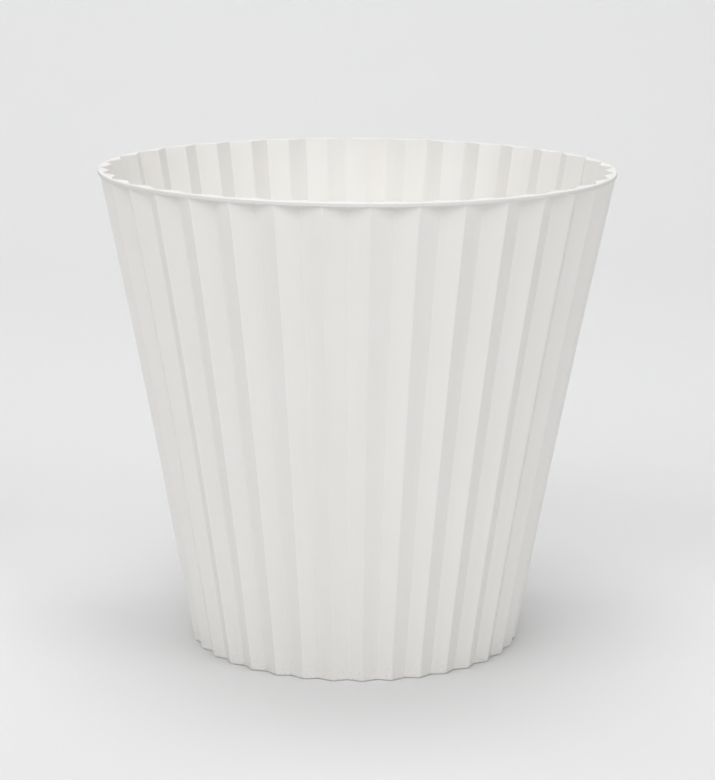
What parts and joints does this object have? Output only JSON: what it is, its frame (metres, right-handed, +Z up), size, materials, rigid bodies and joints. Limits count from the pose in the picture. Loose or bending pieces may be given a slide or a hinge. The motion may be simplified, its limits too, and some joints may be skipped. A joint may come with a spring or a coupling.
{
  "type": "wastebasket",
  "caption": "Round tapered wastebasket with a pleated wall, a flat rim flange and a raised floor inside a foot ring.",
  "frame": {"origin": "on the vertical axis of the basket, at the surface that the foot ring stands on", "axes": "+Z up along the axis towards the open mouth; one outer pleat ridge points along -Y"},
  "size_m": [0.28, 0.28, 0.262],
  "materials": {
    "white_polypropylene": "satin moulded polypropylene, slightly warm white"
  },
  "bodies": {
    "root": {"rim_flange": "white_polypropylene", "pleated_wall": "white_polypropylene", "foot_ring": "white_polypropylene", "floor_panel": "white_polypropylene"}
  },
  "joints": []
}
